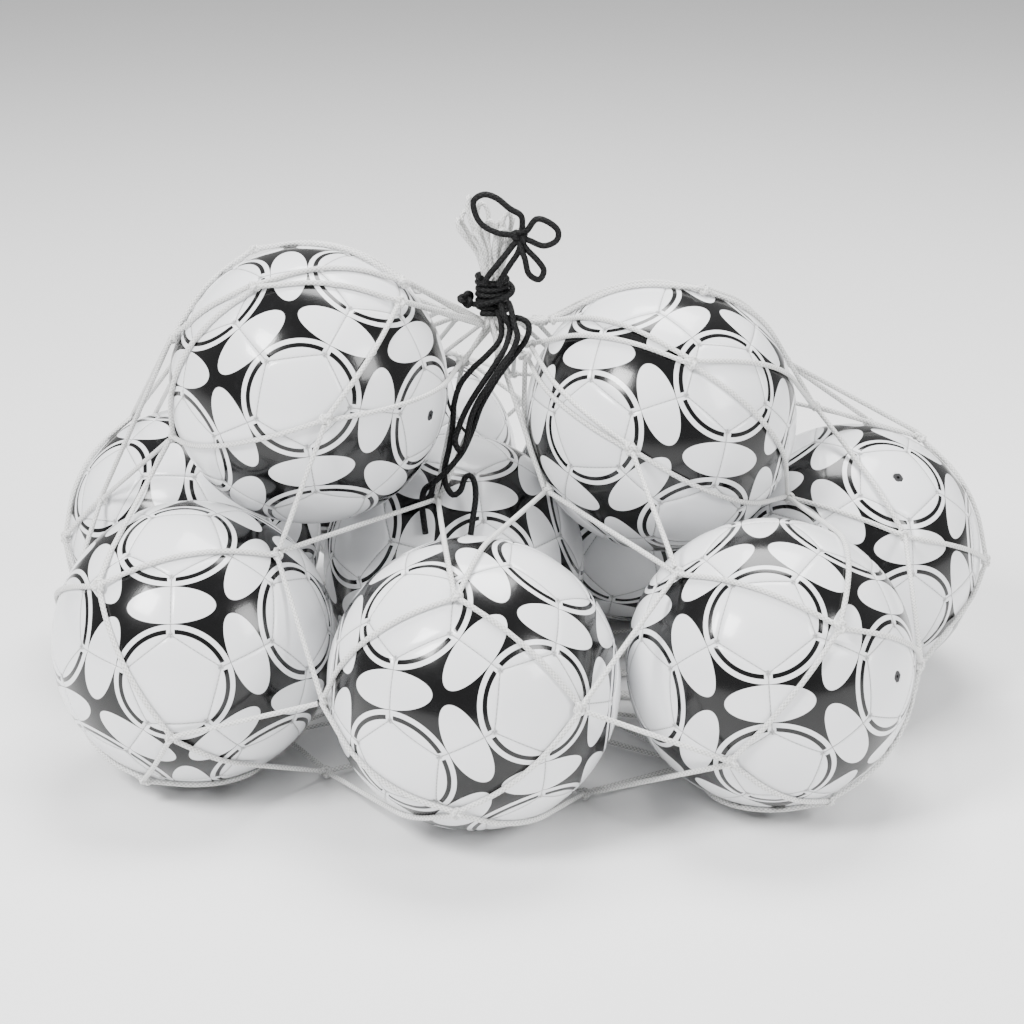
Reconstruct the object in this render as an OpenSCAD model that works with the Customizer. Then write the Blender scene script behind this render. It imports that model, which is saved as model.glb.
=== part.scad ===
// Mesh ball bag: ten footballs held in a knotted diamond net with a drawcord at its mouth.
// Millimetres, +Z up, the floor at z = 0, the front towards -Y.

/* [Balls] */
// Outside diameter of each football
ball_d = 220; // [200:1:230]
// Thickness of the stitched cover
cover_t = 2.4; // [1.5:0.1:4]
// Thickness of the rubber bladder
bladder_t = 0.6; // [0.5:0.1:2]
// Diameter of the rubber valve plug
valve_d = 8; // [6:0.5:12]
// Diameter of the needle hole through the valve
needle_d = 2.6; // [2:0.1:3]

/* [Net] */
// Diameter of the white net cord
net_cord_d = 4; // [3:0.1:5]
// Width of each knot
knot_d = 11; // [8:0.5:12]
// Radius of the lacing ring that closes the base
lacing_r = 38; // [36:1:60]
// Meshes round the bag
meshes = 14; // [14:1:14]

/* [Neck] */
// Diameter of the black drawcord
draw_d = 5; // [4:0.5:6]
// Radius of the gathered net inside the wrap
bundle_r = 9; // [8:0.5:11]
// Turns of the drawcord round the neck
wrap_turns = 6; // [4:1:7]

/* [Hidden] */
k = ball_d / 220;
ball_r = ball_d / 2;
gap = 0.3;

// Where the ten balls rest against each other: centre of each, on the floor or in the second layer.
CENTRES = [
    [-253, -147, 110],
    [-34, -226, 110],
    [191, -191, 110],
    [-165, -52, 289],
    [116, -13, 249],
    [-282, 88, 110],
    [282, 35, 110],
    [-54, 14, 110],
    [105, 167, 110],
    [-110, 227, 126]
];
// Direction of each ball's valve: azimuth (0 = front, 90 = right) and elevation, degrees.
VALVES = [
    [179, -6], [-153, -14], [53, 9], [63, -5], [145, -10],
    [60, -20], [26, 54], [-164, -19], [40, 30], [150, 40]
];
BALLS = len(CENTRES);

net_r = net_cord_d / 2;
knot_r = knot_d / 2;
lay_r = ball_r + net_r + 0.7;
knot_lay = ball_r + knot_r + 0.6;
// Net cords low on a ball are pushed aside along the floor, not under it.
floor_band = 80 * k;
net_sides = 6;
// A ring of the tube for each this many degrees of bend, carried this much further out than a straight one.
bend_step = 16;
bend_lift = 1.5;
bend_reach = 34 * k;
// Each link ends this far from the centre of its knot, beside its twin.
link_stop = 4.4;
link_beside = net_r + 0.35;
// Straight links shorter than this bend are left as two rings.
least_bend = 1;

throat = [-20, 0, 320] * k;
base_c = [-54, 14, 2.6];

// Point on ball n, in a direction given as azimuth and elevation, at radius r from its centre.
function aim(az, el) = [cos(el) * sin(az), -cos(el) * cos(az), sin(el)];
function on(n, az, el, r = knot_lay) = CENTRES[n - 1] * k + r * aim(az, el);
function at(x, y, z) = [x, y, z] * k;
function low(x, y) = [x * k, y * k, knot_r + 0.2];

// Knots of the net, round by round from the neck down.
K1 = [
    on(4, 86, 48), on(4, 63, 43), at(-44, -15, 296), at(-14, -21, 300), at(6, 2, 296),
    at(10, -5, 308), at(28, 0, 328), at(20, 20, 320), at(15, 40, 315), at(0, 50, 312),
    at(-25, 50, 312), at(-50, 40, 318), at(-60, 20, 330), at(-79, -10, 357)
];
K2 = [
    on(4, -32, 56), on(4, 11, 4), on(8, -8, 48), on(5, -61, -23), on(5, -15, 5),
    on(5, 11, 39), on(5, 67, 73), on(5, 150, 35), on(9, -30, 65), at(-5, 150, 235),
    at(-94, 169, 227), at(-150, 110, 262), on(4, -170, 45), on(4, -120, 65)
];
K3 = [
    on(4, -75, -17), on(1, 66, 48), on(2, -10, 57), on(3, -71, 47), on(7, -44, 40),
    at(247, 30, 243), at(222, 44, 278), at(185, 140, 225), on(9, -150, 60), on(10, 130, 50),
    on(10, -110, 50), on(6, 120, 70), on(4, -120, 10), on(4, -76, 24)
];
K4 = [
    on(1, -43, 40), on(2, -75, 0), on(2, 43, 9), on(3, 25, 35), on(7, 16, 28),
    on(7, 111, 57), on(7, 160, 60), on(9, 130, 30), at(5, 290, 165), on(10, 180, 20),
    at(-250, 225, 180), on(6, -150, 45), on(6, -116, 61), on(6, -41, 32)
];
K5 = [
    on(1, -3, -15), on(2, -7, -31), on(3, -20, -17), at(308, -189, 107), on(7, 78, 1),
    on(7, 125, 25), at(280, 183, 142), on(9, 170, 5), on(10, 150, -15), on(10, -145, -5),
    on(6, -150, -5), on(6, -105, 10), on(6, -66, 7), at(-371, -76, 97)
];
K6 = [
    low(-152, -166), low(50, -205), on(3, 38, -53), at(325, -75, 50), on(7, 100, -35),
    on(7, 150, -35), on(9, 135, -40), at(20, 285, 40), at(-110, 304, 37), at(-245, 215, 35),
    low(-325, 152), low(-352, 52), at(-340, -30, 30), on(1, -28, -50)
];
K7 = [
    low(-50, -110), low(135, -155), low(230, -105), low(290, -25), low(247, 88),
    low(215, 140), low(75, 215), low(-30, 215), low(-150, 195), low(-235, 142),
    low(-232, 72), low(-270, -5), low(-265, -85), low(-195, -95)
];
// The last round of knots lies halfway in from the round above towards the lacing.
K8 = [
    for (i = [0 : meshes - 1])
        let (m = (K7[i] + K7[(i + 1) % meshes]) / 2)
        [0.5 * m[0] + 0.5 * base_c[0] * k, 0.5 * m[1] + 0.5 * base_c[1] * k, knot_r + 0.2]
];
// The net hangs on the lacing ring at evenly spaced points.
K9 = [
    for (i = [0 : meshes - 1])
        let (a = -66 + i * 360 / meshes)
        [base_c[0] * k + lacing_r * cos(a), base_c[1] * k + lacing_r * sin(a), base_c[2]]
];
KNOTS = [K1, K2, K3, K4, K5, K6, K7, K8, K9];
ROUNDS = len(KNOTS);

// Push a point out of one ball: straight out, or sideways when it is low beside the floor.
function push1(p, c, r) =
    let (v = p - c, h = norm([v[0], v[1]]), d = norm(v))
    d >= r ? p :
    v[2] < -floor_band ? let (w = sqrt(r * r - v[2] * v[2]) / h) [c[0] + v[0] * w, c[1] + v[1] * w, p[2]] :
    c + v * (r / d);
function push(p, r, i = 0) = i == BALLS ? p : push(push1(p, CENTRES[i] * k, r), r, i + 1);
function above(p, z) = [p[0], p[1], max(p[2], z)];
function clear(p, r) = above(push(push(push(p, r), r), r), net_r + 0.2);

function unit(v) = v / norm(v);
function lerp(a, b, t) = a + (b - a) * t;
function bend(a, b, c) = let (d = unit(b - a) * unit(c - b)) acos(min(1, max(-1, d)));
function total_bend(pts) = len(pts) < 3 ? 0 :
    sum([for (i = [1 : len(pts) - 2]) bend(pts[i - 1], pts[i], pts[i + 1])]);
function sum(v, i = 0) = i == len(v) ? 0 : v[i] + sum(v, i + 1);

// Centreline from a to b, bent round whatever ball is in its way.
function link_points(a, b, r) =
    let (
        fine = [for (t = [0 : 0.1 : 1]) clear(lerp(a, b, t), r)],
        turn = total_bend(fine),
        n = turn < least_bend ? 1 : max(ceil(norm(b - a) / bend_reach), 1 + ceil(turn / bend_step))
    )
    n == 1 ? [a, b] : [for (i = [0 : n]) i == 0 ? a : i == n ? b : clear(lerp(a, b, i / n), r + bend_lift)];

// Two cords leave a knot side by side: how far the one to mine stands off the middle, away from its twin.
function beside(p, mine, twin) =
    let (
        m = unit((mine + twin) / 2 - p),
        s = mine - twin
    )
    unit(s - (s * m) * m) * link_beside;

function tangent(pts, i) =
    i == 0 ? unit(pts[1] - pts[0]) :
    i == len(pts) - 1 ? unit(pts[i] - pts[i - 1]) :
    unit(unit(pts[i + 1] - pts[i]) + unit(pts[i] - pts[i - 1]));

// Rings of a tube carried along its path without twist, each from the one before; rs holds a radius for each.
function carry(pts, rs, sides, i, u, done) =
    i == len(pts) ? done :
    let (
        t = tangent(pts, i),
        v = unit(u - (u * t) * t),
        w = cross(t, v),
        here = [for (j = [0 : sides - 1]) pts[i] + rs[i] * (v * cos(360 * j / sides) + w * sin(360 * j / sides))]
    )
    carry(pts, rs, sides, i + 1, v, concat(done, here));

function first_side(t) = abs(t[2]) > 0.9 ? [1, 0, 0] : [0, 0, 1];

// A tube along pts with flat ends, one radius for each point.
module tube(pts, rs, sides) {
    n = len(pts);
    points = carry(pts, rs, sides, 0, first_side(tangent(pts, 0)), []);
    walls = [
        for (i = [0 : n - 2])
            for (j = [0 : sides - 1])
                let (a = i * sides + j, b = i * sides + (j + 1) % sides)
                each [[a, a + sides, b + sides], [a, b + sides, b]]
    ];
    start = [for (j = [0 : sides - 1]) j];
    end = [for (j = [sides - 1 : -1 : 0]) (n - 1) * sides + j];
    polyhedron(points = points, faces = concat(walls, [start], [end]), convexity = 6);
}

// A net link from knot a to knot b, ending just inside both.
module link(a, b) {
    path = link_points(a, b, lay_r);
    n = len(path);
    mids = n == 2 ? [] : [for (i = [1 : n - 2]) path[i]];
    body = concat([a + unit(path[1] - a) * link_stop], mids, [b + unit(path[n - 2] - b) * link_stop]);
    tube(body, [for (p = body) net_r], net_sides);
}

// Routes of the drawcord, in millimetres, down from the wrap or round the bow.
TAIL_RIGHT = [
    [-9, -18, 334], [2, -21, 334], [9, -23, 329], [7, -25, 318], [-1, -27, 307], [-12, -31, 294],
    [-21, -35, 281], [-30, -41, 266], [-36, -46, 250], [-43, -55, 236], [-51, -63, 227], [-59, -66, 219],
    [-68, -66, 211], [-75, -60, 203], [-77, -62, 193], [-76, -69, 184], [-74, -79, 173]
];
TAIL_LEFT = [
    [-13, -19, 330], [-14, -26, 318], [-24, -28, 306], [-36, -30, 295], [-46, -34, 283], [-51, -40, 268],
    [-52, -45, 253], [-55, -54, 236], [-58, -58, 224], [-59, -61, 216], [-57, -66, 208], [-52, -69, 202],
    [-46, -67, 205], [-43, -63, 213], [-39, -62, 216], [-35, -64, 211], [-34, -69, 199], [-36, -76, 186],
    [-38, -83, 173]
];
TAIL_BIGHT = [
    [-6, -25, 326], [-10, -33, 313], [-18, -35, 300], [-27, -38, 287], [-36, -42, 274], [-43, -46, 262],
    [-48, -51, 250], [-50, -57, 243], [-47, -61, 237], [-42, -61, 240], [-40, -55, 249], [-37, -49, 261],
    [-31, -44, 273], [-22, -41, 286], [-13, -37, 299], [-4, -33, 311], [1, -31, 322]
];
RISER_A = [[-24, -15, 366], [-16, -19, 377], [-8, -19, 387], [-3, -17, 393]];
RISER_B = [[-12, -15, 366], [-6, -19, 377], [0, -19, 386], [2, -17, 391]];
LOOP_TOP = [
    [4, -14, 407], [3, -15, 416], [-6, -16, 422], [-16, -15, 430], [-26, -15, 433], [-34, -15, 428],
    [-33, -16, 418], [-27, -18, 409], [-15, -19, 403], [-5, -17, 401]
];
LOOP_RIGHT = [
    [8, -14, 404], [15, -15, 413], [24, -15, 411], [32, -15, 404], [31, -16, 396], [21, -17, 392], [10, -16, 396]
];
LOOP_LOW = [
    [7, -17, 390], [16, -20, 381], [21, -21, 373], [17, -22, 366], [9, -23, 371], [6, -23, 383]
];
bow_c = [2, -14, 399] * k;

wrap_pitch = draw_d + 0.2;
wrap_z = 336 * k;
wrap_r = bundle_r + draw_d / 2 + 0.2;
bundle_top = 371 * k;
// The bundle opens out above the wrap to carry the loops.
flare_h = 5;
tuft_r = 8.4;
tuft_cord_r = net_r * 0.9;
tuft_h = 42;
tuft_lean = 13;
// How far along its lean and its height each point of a bent loop is.
TUFT_CURVE = [[0, 0], [0.3, 0.45], [0.75, 0.92], [1.05, 1], [1.25, 0.9]];
bow_size = [5.6, 5, 7];
end_knot_w = 14;
end_knot_h = 11;
cord_sides = 8;
// The first round starts clear of the bundle's round end and is at full thickness from pinch_end.
pinch_start = bundle_r + 2.5;
pinch_end = 20;

// Put a ball's parts at its centre, with local +Z towards its valve.
module at_ball(i) {
    translate(CENTRES[i - 1] * k)
        rotate([0, 0, VALVES[i - 1][0] - 90])
            rotate([0, 90 - VALVES[i - 1][1], 0])
                children();
}

module ball_cover(i) {
    color("white")
        at_ball(i)
            difference() {
                sphere(r = ball_r, $fn = 96);
                sphere(r = ball_r - cover_t, $fn = 96);
                cylinder(r = valve_d / 2 + gap, h = ball_r + 1, $fn = 32);
            }
}

module ball_bladder(i) {
    color("dimgray")
        at_ball(i)
            difference() {
                sphere(r = ball_r - cover_t - gap, $fn = 96);
                sphere(r = ball_r - cover_t - gap - bladder_t, $fn = 96);
                cylinder(r = valve_d / 2 + gap, h = ball_r + 1, $fn = 32);
            }
}

// The valve: a plug flush with the cover and a needle hole through it.
module ball_valve(i) {
    plug_top = ball_r - 0.4;
    plug_h = 14;
    color("black")
        at_ball(i)
            difference() {
                translate([0, 0, plug_top - plug_h])
                    cylinder(r = valve_d / 2, h = plug_h, $fn = 32);
                translate([0, 0, plug_top - plug_h - 1])
                    cylinder(r = needle_d / 2, h = plug_h + 2, $fn = 24);
            }
}

// First round: the two cords of each top mesh lie pressed together from the neck to their knot,
// and are squeezed thinner where they all meet.
module net_round_top() {
    pair_r = net_r * 1.2;
    squeezed_r = net_r / 2;
    color("whitesmoke")
        for (i = [0 : meshes - 1]) {
            out = unit(K1[i] - throat);
            path = link_points(throat + out * pinch_end, K1[i], lay_r + 0.4);
            n = len(path);
            mids = n == 2 ? [] : [for (j = [1 : n - 2]) path[j]];
            stop = K1[i] + unit(path[n - 2] - K1[i]) * link_stop;
            body = concat([throat + out * pinch_start, throat + out * pinch_end], mids, [stop]);
            tube(body, [for (j = [0 : len(body) - 1]) j == 0 ? squeezed_r : pair_r], net_sides);
        }
}

// Every other round: two links run down from each knot to the next round.
module net_round(n) {
    up = KNOTS[n - 2];
    down = KNOTS[n - 1];
    color("whitesmoke")
        for (i = [0 : meshes - 1]) {
            a = up[i];
            b = up[(i + 1) % meshes];
            d = down[i];
            before = down[(i + meshes - 1) % meshes];
            after = down[(i + 1) % meshes];
            link(a + beside(a, d, before), d + beside(d, a, b));
            link(b + beside(b, d, after), d + beside(d, b, a));
        }
}

module net_knots() {
    color("white")
        for (n = [0 : ROUNDS - 2])
            for (p = KNOTS[n])
                translate(p)
                    sphere(r = knot_r, $fn = 24);
}

// The lacing cord that draws the last round together under the middle balls.
module base_lacing() {
    color("white")
        translate([base_c[0] * k, base_c[1] * k, base_c[2]])
            rotate_extrude($fn = 72)
                translate([lacing_r, 0])
                    circle(r = net_r, $fn = 20);
}

module neck_bundle() {
    color("white")
        union() {
            translate(throat)
                sphere(r = bundle_r - 1, $fn = 48);
            translate([0, 0, throat[2]])
                linear_extrude(height = bundle_top - throat[2])
                    translate([throat[0], 0])
                        circle(r = bundle_r - 1, $fn = 48);
            translate([throat[0], 0, bundle_top - flare_h])
                cylinder(r1 = bundle_r - 1, r2 = tuft_r + 2, h = flare_h, $fn = 48);
        }
}

// The top edge of the net stands above the wrap as a fan of bent loops.
module mouth_loops() {
    color("white")
        for (i = [0 : meshes - 1]) {
            a = i * 360 / meshes;
            tall = (tuft_h + 7 * cos(2 * a + 60) - 6 * cos(a)) * k;
            foot = [throat[0] + tuft_r * cos(a), tuft_r * sin(a), bundle_top + 0.3];
            lean = [tuft_lean * cos(a), 5 * sin(a) + 4, 0] * k;
            up = [0, 0, tall];
            path = [for (f = TUFT_CURVE) foot + lean * f[0] + up * f[1]];
            tube(path, [for (p = path) tuft_cord_r], net_sides);
        }
}

module drawcord_wrap() {
    color("black")
        for (i = [0 : wrap_turns - 1])
            translate([throat[0], 0, wrap_z + i * wrap_pitch])
                rotate_extrude($fn = 72)
                    translate([wrap_r, 0])
                        circle(r = draw_d / 2, $fn = 20);
}

module end_knot() {
    color("black")
        translate([throat[0] - wrap_r - draw_d / 2 - end_knot_w / 2 + 0.3, -3, wrap_z + 9])
            scale([end_knot_w / 2, end_knot_w / 2, end_knot_h / 2])
                sphere(r = 1, $fn = 48);
}

module bow_knot() {
    color("black")
        translate(bow_c)
            scale(bow_size)
                sphere(r = 1, $fn = 48);
}

module cord(route) {
    tube(route * k, [for (p = route) draw_d / 2], cord_sides);
}

module drawcord_risers() {
    color("black") {
        cord(RISER_A);
        cord(RISER_B);
    }
}

module drawcord_loop_top() {
    color("black")
        cord(LOOP_TOP);
}

module drawcord_loop_right() {
    color("black")
        cord(LOOP_RIGHT);
}

module drawcord_loop_low() {
    color("black")
        cord(LOOP_LOW);
}

module tail_right() {
    color("black")
        cord(TAIL_RIGHT);
}

module tail_left() {
    color("black")
        cord(TAIL_LEFT);
}

module tail_bight() {
    color("black")
        cord(TAIL_BIGHT);
}

for (i = [1 : BALLS]) {
    ball_cover(i);
    ball_bladder(i);
    ball_valve(i);
}
net_round_top();  // net_round_1
for (n = [2 : ROUNDS])
    net_round(n);
net_knots();
base_lacing();
neck_bundle();
mouth_loops();
drawcord_wrap();
end_knot();
drawcord_risers();
bow_knot();
drawcord_loop_top();
drawcord_loop_right();
drawcord_loop_low();
tail_right();
tail_left();
tail_bight();
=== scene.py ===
# %% [markdown]
# # A mesh ball bag
#
# Ten footballs lie in a net bag: a heap of seven on the floor (one more rides a little higher at the
# back) and two on top. The net is white twine knotted in diamonds, gathered at the mouth, wound round
# with a black drawcord and tied in a bow whose ends hang down the front.
#
# The exact model is the frame: it says where each ball, knot and cord is, in metres. Everything made
# here stands in that same frame, so nothing has to be fitted afterwards.

import math

import bpy
import numpy as np
from mathutils import Matrix, Vector


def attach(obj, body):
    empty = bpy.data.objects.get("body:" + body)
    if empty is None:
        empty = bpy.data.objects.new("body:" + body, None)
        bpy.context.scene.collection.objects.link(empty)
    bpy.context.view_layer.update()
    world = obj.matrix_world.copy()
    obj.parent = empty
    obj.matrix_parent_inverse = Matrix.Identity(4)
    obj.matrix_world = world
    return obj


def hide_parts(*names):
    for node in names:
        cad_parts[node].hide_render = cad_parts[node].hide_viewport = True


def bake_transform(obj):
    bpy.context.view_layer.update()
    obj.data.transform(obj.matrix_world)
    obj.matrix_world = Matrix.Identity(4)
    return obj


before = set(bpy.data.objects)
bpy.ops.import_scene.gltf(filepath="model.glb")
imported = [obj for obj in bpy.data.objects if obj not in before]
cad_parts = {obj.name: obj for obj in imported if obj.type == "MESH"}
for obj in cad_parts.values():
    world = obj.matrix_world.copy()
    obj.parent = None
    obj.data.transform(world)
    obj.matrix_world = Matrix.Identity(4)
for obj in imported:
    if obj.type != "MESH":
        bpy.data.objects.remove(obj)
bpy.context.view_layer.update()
scene = bpy.context.scene

# %% [markdown]
# ## Camera
#
# The view is the one a person has who stands two paces away and looks down a little: a long lens, so
# the balls stay round.

# %% Camera
eye = bpy.data.cameras.new("eye")
eye.lens = 83.0
eye.sensor_width = 36.0
eye.clip_start, eye.clip_end = 0.05, 40
camera = bpy.data.objects.new("camera", eye)
scene.collection.objects.link(camera)
camera.matrix_world = (
    Matrix.Translation((-0.005, -1.836, 0.850))
    @ Matrix.Rotation(math.radians(90 - 20.56), 4, "X")
    @ Matrix.Rotation(math.radians(-0.24), 4, "Z")
)
scene.camera = camera
print("camera looks down", 20.56, "degrees")

# %% [markdown]
# ## Where things are
#
# A knot on a ball is easiest to say as the ball's number and a direction: azimuth (0 is the front, 90
# the right) and elevation. The same short list is in the exact model's source. The numbers here are in
# millimetres, and `mm` turns them into metres once, at the end.

# %% Balls
MM = 0.001
BALL_R = 110.0
CENTRES = np.array([
    (-253, -147, 110), (-34, -226, 110), (191, -191, 110), (-165, -52, 289), (116, -13, 249),
    (-282, 88, 110), (282, 35, 110), (-54, 14, 110), (105, 167, 110), (-110, 227, 126),
], float)
# Azimuth and elevation of each ball's valve, and how far the ball is turned about it.
TURNS = [
    (179, -6, 38), (-153, -14, 5), (53, 9, 22), (63, -5, 70), (145, -10, 46),
    (60, -20, 51), (26, 54, 44), (-164, -19, 32), (40, 30, 20), (150, 40, 10),
]


def mm(points):
    """Millimetres to metres."""
    return np.asarray(points, float) * MM


def aim(az, el):
    """The direction that an azimuth and an elevation give."""
    a, e = math.radians(az), math.radians(el)
    return np.array([math.cos(e) * math.sin(a), -math.cos(e) * math.cos(a), math.sin(e)])


print("balls:", len(CENTRES))

# %% Knots of the net
TWINE_R = 2.0
KNOT_LAY = 116.1
FLOOR_KNOT_Z = 5.7


def on(ball, az, el):
    return CENTRES[ball - 1] + KNOT_LAY * aim(az, el)


def at(x, y, z):
    return np.array([x, y, z], float)


def low(x, y):
    return np.array([x, y, FLOOR_KNOT_Z], float)


ROUND_1 = [
    on(4, 86, 48), on(4, 63, 43), at(-44, -15, 296), at(-14, -21, 300), at(6, 2, 296),
    at(10, -5, 308), at(28, 0, 328), at(20, 20, 320), at(15, 40, 315), at(0, 50, 312),
    at(-25, 50, 312), at(-50, 40, 318), at(-60, 20, 330), at(-79, -10, 357),
]
ROUND_2 = [
    on(4, -32, 56), on(4, 11, 4), on(8, -8, 48), on(5, -61, -23), on(5, -15, 5),
    on(5, 11, 39), on(5, 67, 73), on(5, 150, 35), on(9, -30, 65), at(-5, 150, 235),
    at(-94, 169, 227), at(-150, 110, 262), on(4, -170, 45), on(4, -120, 65),
]
ROUND_3 = [
    on(4, -75, -17), on(1, 66, 48), on(2, -10, 57), on(3, -71, 47), on(7, -44, 40),
    at(247, 30, 243), at(222, 44, 278), at(185, 140, 225), on(9, -150, 60), on(10, 130, 50),
    on(10, -110, 50), on(6, 120, 70), on(4, -120, 10), on(4, -76, 24),
]
ROUND_4 = [
    on(1, -43, 40), on(2, -75, 0), on(2, 43, 9), on(3, 25, 35), on(7, 16, 28),
    on(7, 111, 57), on(7, 160, 60), on(9, 130, 30), at(5, 290, 165), on(10, 180, 20),
    at(-250, 225, 180), on(6, -150, 45), on(6, -116, 61), on(6, -41, 32),
]
ROUND_5 = [
    on(1, -3, -15), on(2, -7, -31), on(3, -20, -17), at(308, -189, 107), on(7, 78, 1),
    on(7, 125, 25), at(280, 183, 142), on(9, 170, 5), on(10, 150, -15), on(10, -145, -5),
    on(6, -150, -5), on(6, -105, 10), on(6, -66, 7), at(-371, -76, 97),
]
ROUND_6 = [
    low(-152, -166), low(50, -205), on(3, 38, -53), at(325, -75, 50), on(7, 100, -35),
    on(7, 150, -35), on(9, 135, -40), at(20, 285, 40), at(-110, 304, 37), at(-245, 215, 35),
    low(-325, 152), low(-352, 52), at(-340, -30, 30), on(1, -28, -50),
]
ROUND_7 = [
    low(-50, -110), low(135, -155), low(230, -105), low(290, -25), low(247, 88),
    low(215, 140), low(75, 215), low(-30, 215), low(-150, 195), low(-235, 142),
    low(-232, 72), low(-270, -5), low(-265, -85), low(-195, -95),
]
MESHES = len(ROUND_1)
BASE = np.array([-54.0, 14.0, 2.6])
LACING_R = 38.0
ROUND_8 = [
    np.append(0.25 * (ROUND_7[i] + ROUND_7[(i + 1) % MESHES])[:2] + 0.5 * BASE[:2], FLOOR_KNOT_Z)
    for i in range(MESHES)
]
ROUND_9 = [
    BASE + LACING_R * np.array([math.cos(a), math.sin(a), 0])
    for a in [math.radians(-66 + i * 360 / MESHES) for i in range(MESHES)]
]
ROUNDS = [ROUND_1, ROUND_2, ROUND_3, ROUND_4, ROUND_5, ROUND_6, ROUND_7, ROUND_8, ROUND_9]
ROUNDS = [np.array(r) for r in ROUNDS]
print("knots:", sum(len(r) for r in ROUNDS[:-1]))

# %% [markdown]
# ## Small tools for node trees
#
# Written as node boxes, a formula of ten terms is a page long. A small class that wraps one socket and
# has `+`, `-`, `*` and `/` makes it one line again. It works in a material and in Geometry Nodes,
# because both have the same Math and Vector Math nodes.

# %% A socket with arithmetic


class Wire:
    """One output socket of a tree; arithmetic on it adds Math nodes."""

    def __init__(self, tree, socket):
        self.tree, self.socket = tree, socket

    def _math(self, operation, *others, flip=False):
        terms = [self, *others]
        if flip:
            terms.reverse()
        return add(self.tree, "ShaderNodeMath", {"operation": operation}, dict(enumerate(terms)))

    def _vector(self, operation, *others, out=0):
        terms = dict(enumerate([self, *others]))
        return add(self.tree, "ShaderNodeVectorMath", {"operation": operation}, terms, out=out)

    def __add__(self, o):
        return self._math("ADD", o)

    def __radd__(self, o):
        return self._math("ADD", o)

    def __sub__(self, o):
        return self._math("SUBTRACT", o)

    def __rsub__(self, o):
        return self._math("SUBTRACT", o, flip=True)

    def __mul__(self, o):
        return self._math("MULTIPLY", o)

    def __rmul__(self, o):
        return self._math("MULTIPLY", o)

    def __truediv__(self, o):
        return self._math("DIVIDE", o)

    def __rtruediv__(self, o):
        return self._math("DIVIDE", o, flip=True)

    def least(self, o):
        return self._math("MINIMUM", o)

    def most(self, o):
        return self._math("MAXIMUM", o)

    def cosine(self):
        return self._math("COSINE")

    def dot(self, v):
        return self._vector("DOT_PRODUCT", v, out="Value")

    def folded(self):
        return self._vector("ABSOLUTE")

    def unit(self):
        return self._vector("NORMALIZE")

    def arctan2(self, o):
        return self._math("ARCTAN2", o)

    def over(self, edge, soft):
        """1 where the value is more than edge, 0 where it is less, with a soft step."""
        return add(
            self.tree, "ShaderNodeMapRange", {"interpolation_type": "SMOOTHSTEP", "clamp": True},
            {"Value": self, "From Min": edge - soft, "From Max": edge + soft},
        )


def add(tree, kind, settings=None, inputs=None, out=0):
    """One node: its settings first, then the values or wires of its sockets. Gives back one output."""
    node = tree.nodes.new(kind)
    for name, value in (settings or {}).items():
        setattr(node, name, value)
    for key, value in (inputs or {}).items():
        if isinstance(value, Wire):
            tree.links.new(value.socket, node.inputs[key])
        else:
            node.inputs[key].default_value = value
    return Wire(tree, node.outputs[out])


def blend_colour(tree, factor, first, second):
    """Mix of two colours, by a wire or a number from 0 to 1."""
    node = tree.nodes.new("ShaderNodeMix")
    node.data_type = "RGBA"
    for key, value in ((0, factor), (6, first), (7, second)):
        if isinstance(value, Wire):
            tree.links.new(value.socket, node.inputs[key])
        else:
            node.inputs[key].default_value = value
    return Wire(tree, node.outputs[2])


def start_material(name, **constants):
    """A new material with one Principled shader; constants are set on the shader's own sockets."""
    material = bpy.data.materials.new(name)
    material.use_nodes = True
    shader = material.node_tree.nodes["Principled BSDF"]
    for key, value in constants.items():
        shader.inputs[key.replace("_", " ")].default_value = value
    return material, material.node_tree, shader


def plug(tree, wire, shader, name):
    tree.links.new(wire.socket, shader.inputs[name])


def named(tree, name, out="Fac"):
    """An attribute of the mesh, as a number (Fac) or a vector (Vector)."""
    return add(tree, "ShaderNodeAttribute", {"attribute_name": name}, out=out)


def noise(tree, scale, detail=2.0, roughness=0.5):
    """Fractal noise over the piece, from 0 to 1."""
    place = add(tree, "ShaderNodeTexCoord", out="Object")
    settings = {"Vector": place, "Scale": scale, "Detail": detail, "Roughness": roughness}
    return add(tree, "ShaderNodeTexNoise", None, settings, out="Fac")


def raised(tree, height, distance=0.001, strength=1.0):
    """A bump whose height is in millimetres when distance is 0.001."""
    return add(
        tree,
        "ShaderNodeBump",
        None,
        {"Height": height, "Distance": distance, "Strength": strength},
        out="Normal",
    )


print("tools ready")

# %% [markdown]
# ## The balls' printed cover
#
# A classic ball is a truncated icosahedron: 12 pentagons and 20 hexagons sewn together. This print
# has a thin dark ring round each pentagon, broken beside the seams, and a dark field in each hexagon
# that is cut away by a long white ellipse across every seam between two hexagons.
#
# It could be painted as an image, but a formula stays sharp at any size. The solid has so much
# symmetry that folding the direction with an absolute value leaves one eighth of the ball, where only
# three pentagon centres and six seam centres have to be looked at.

# %% Directions of the solid
GOLD = (1 + math.sqrt(5)) / 2


def unit(v):
    v = np.asarray(v, float)
    return v / np.linalg.norm(v, axis=-1, keepdims=True)


PENT_NEAR = [unit(v) for v in ((0, 1, GOLD), (1, GOLD, 0), (GOLD, 0, 1))]
SEAM_NEAR = [
    (unit(m), unit(s)) for m, s in (
        ((1, 0, 0), (0, 0, 1)),
        ((0, 1, 0), (1, 0, 0)),
        ((0, 0, 1), (0, 1, 0)),
        ((1, GOLD**2, GOLD), (1, 1 / GOLD, -GOLD)),
        ((GOLD**2, GOLD, 1), (1 / GOLD, -GOLD, 1)),
        ((GOLD, 1, GOLD**2), (-GOLD, 1, 1 / GOLD)),
    )
]
print("angle between two pentagons:", round(math.degrees(math.acos(PENT_NEAR[0] @ PENT_NEAR[1])), 2))

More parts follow.
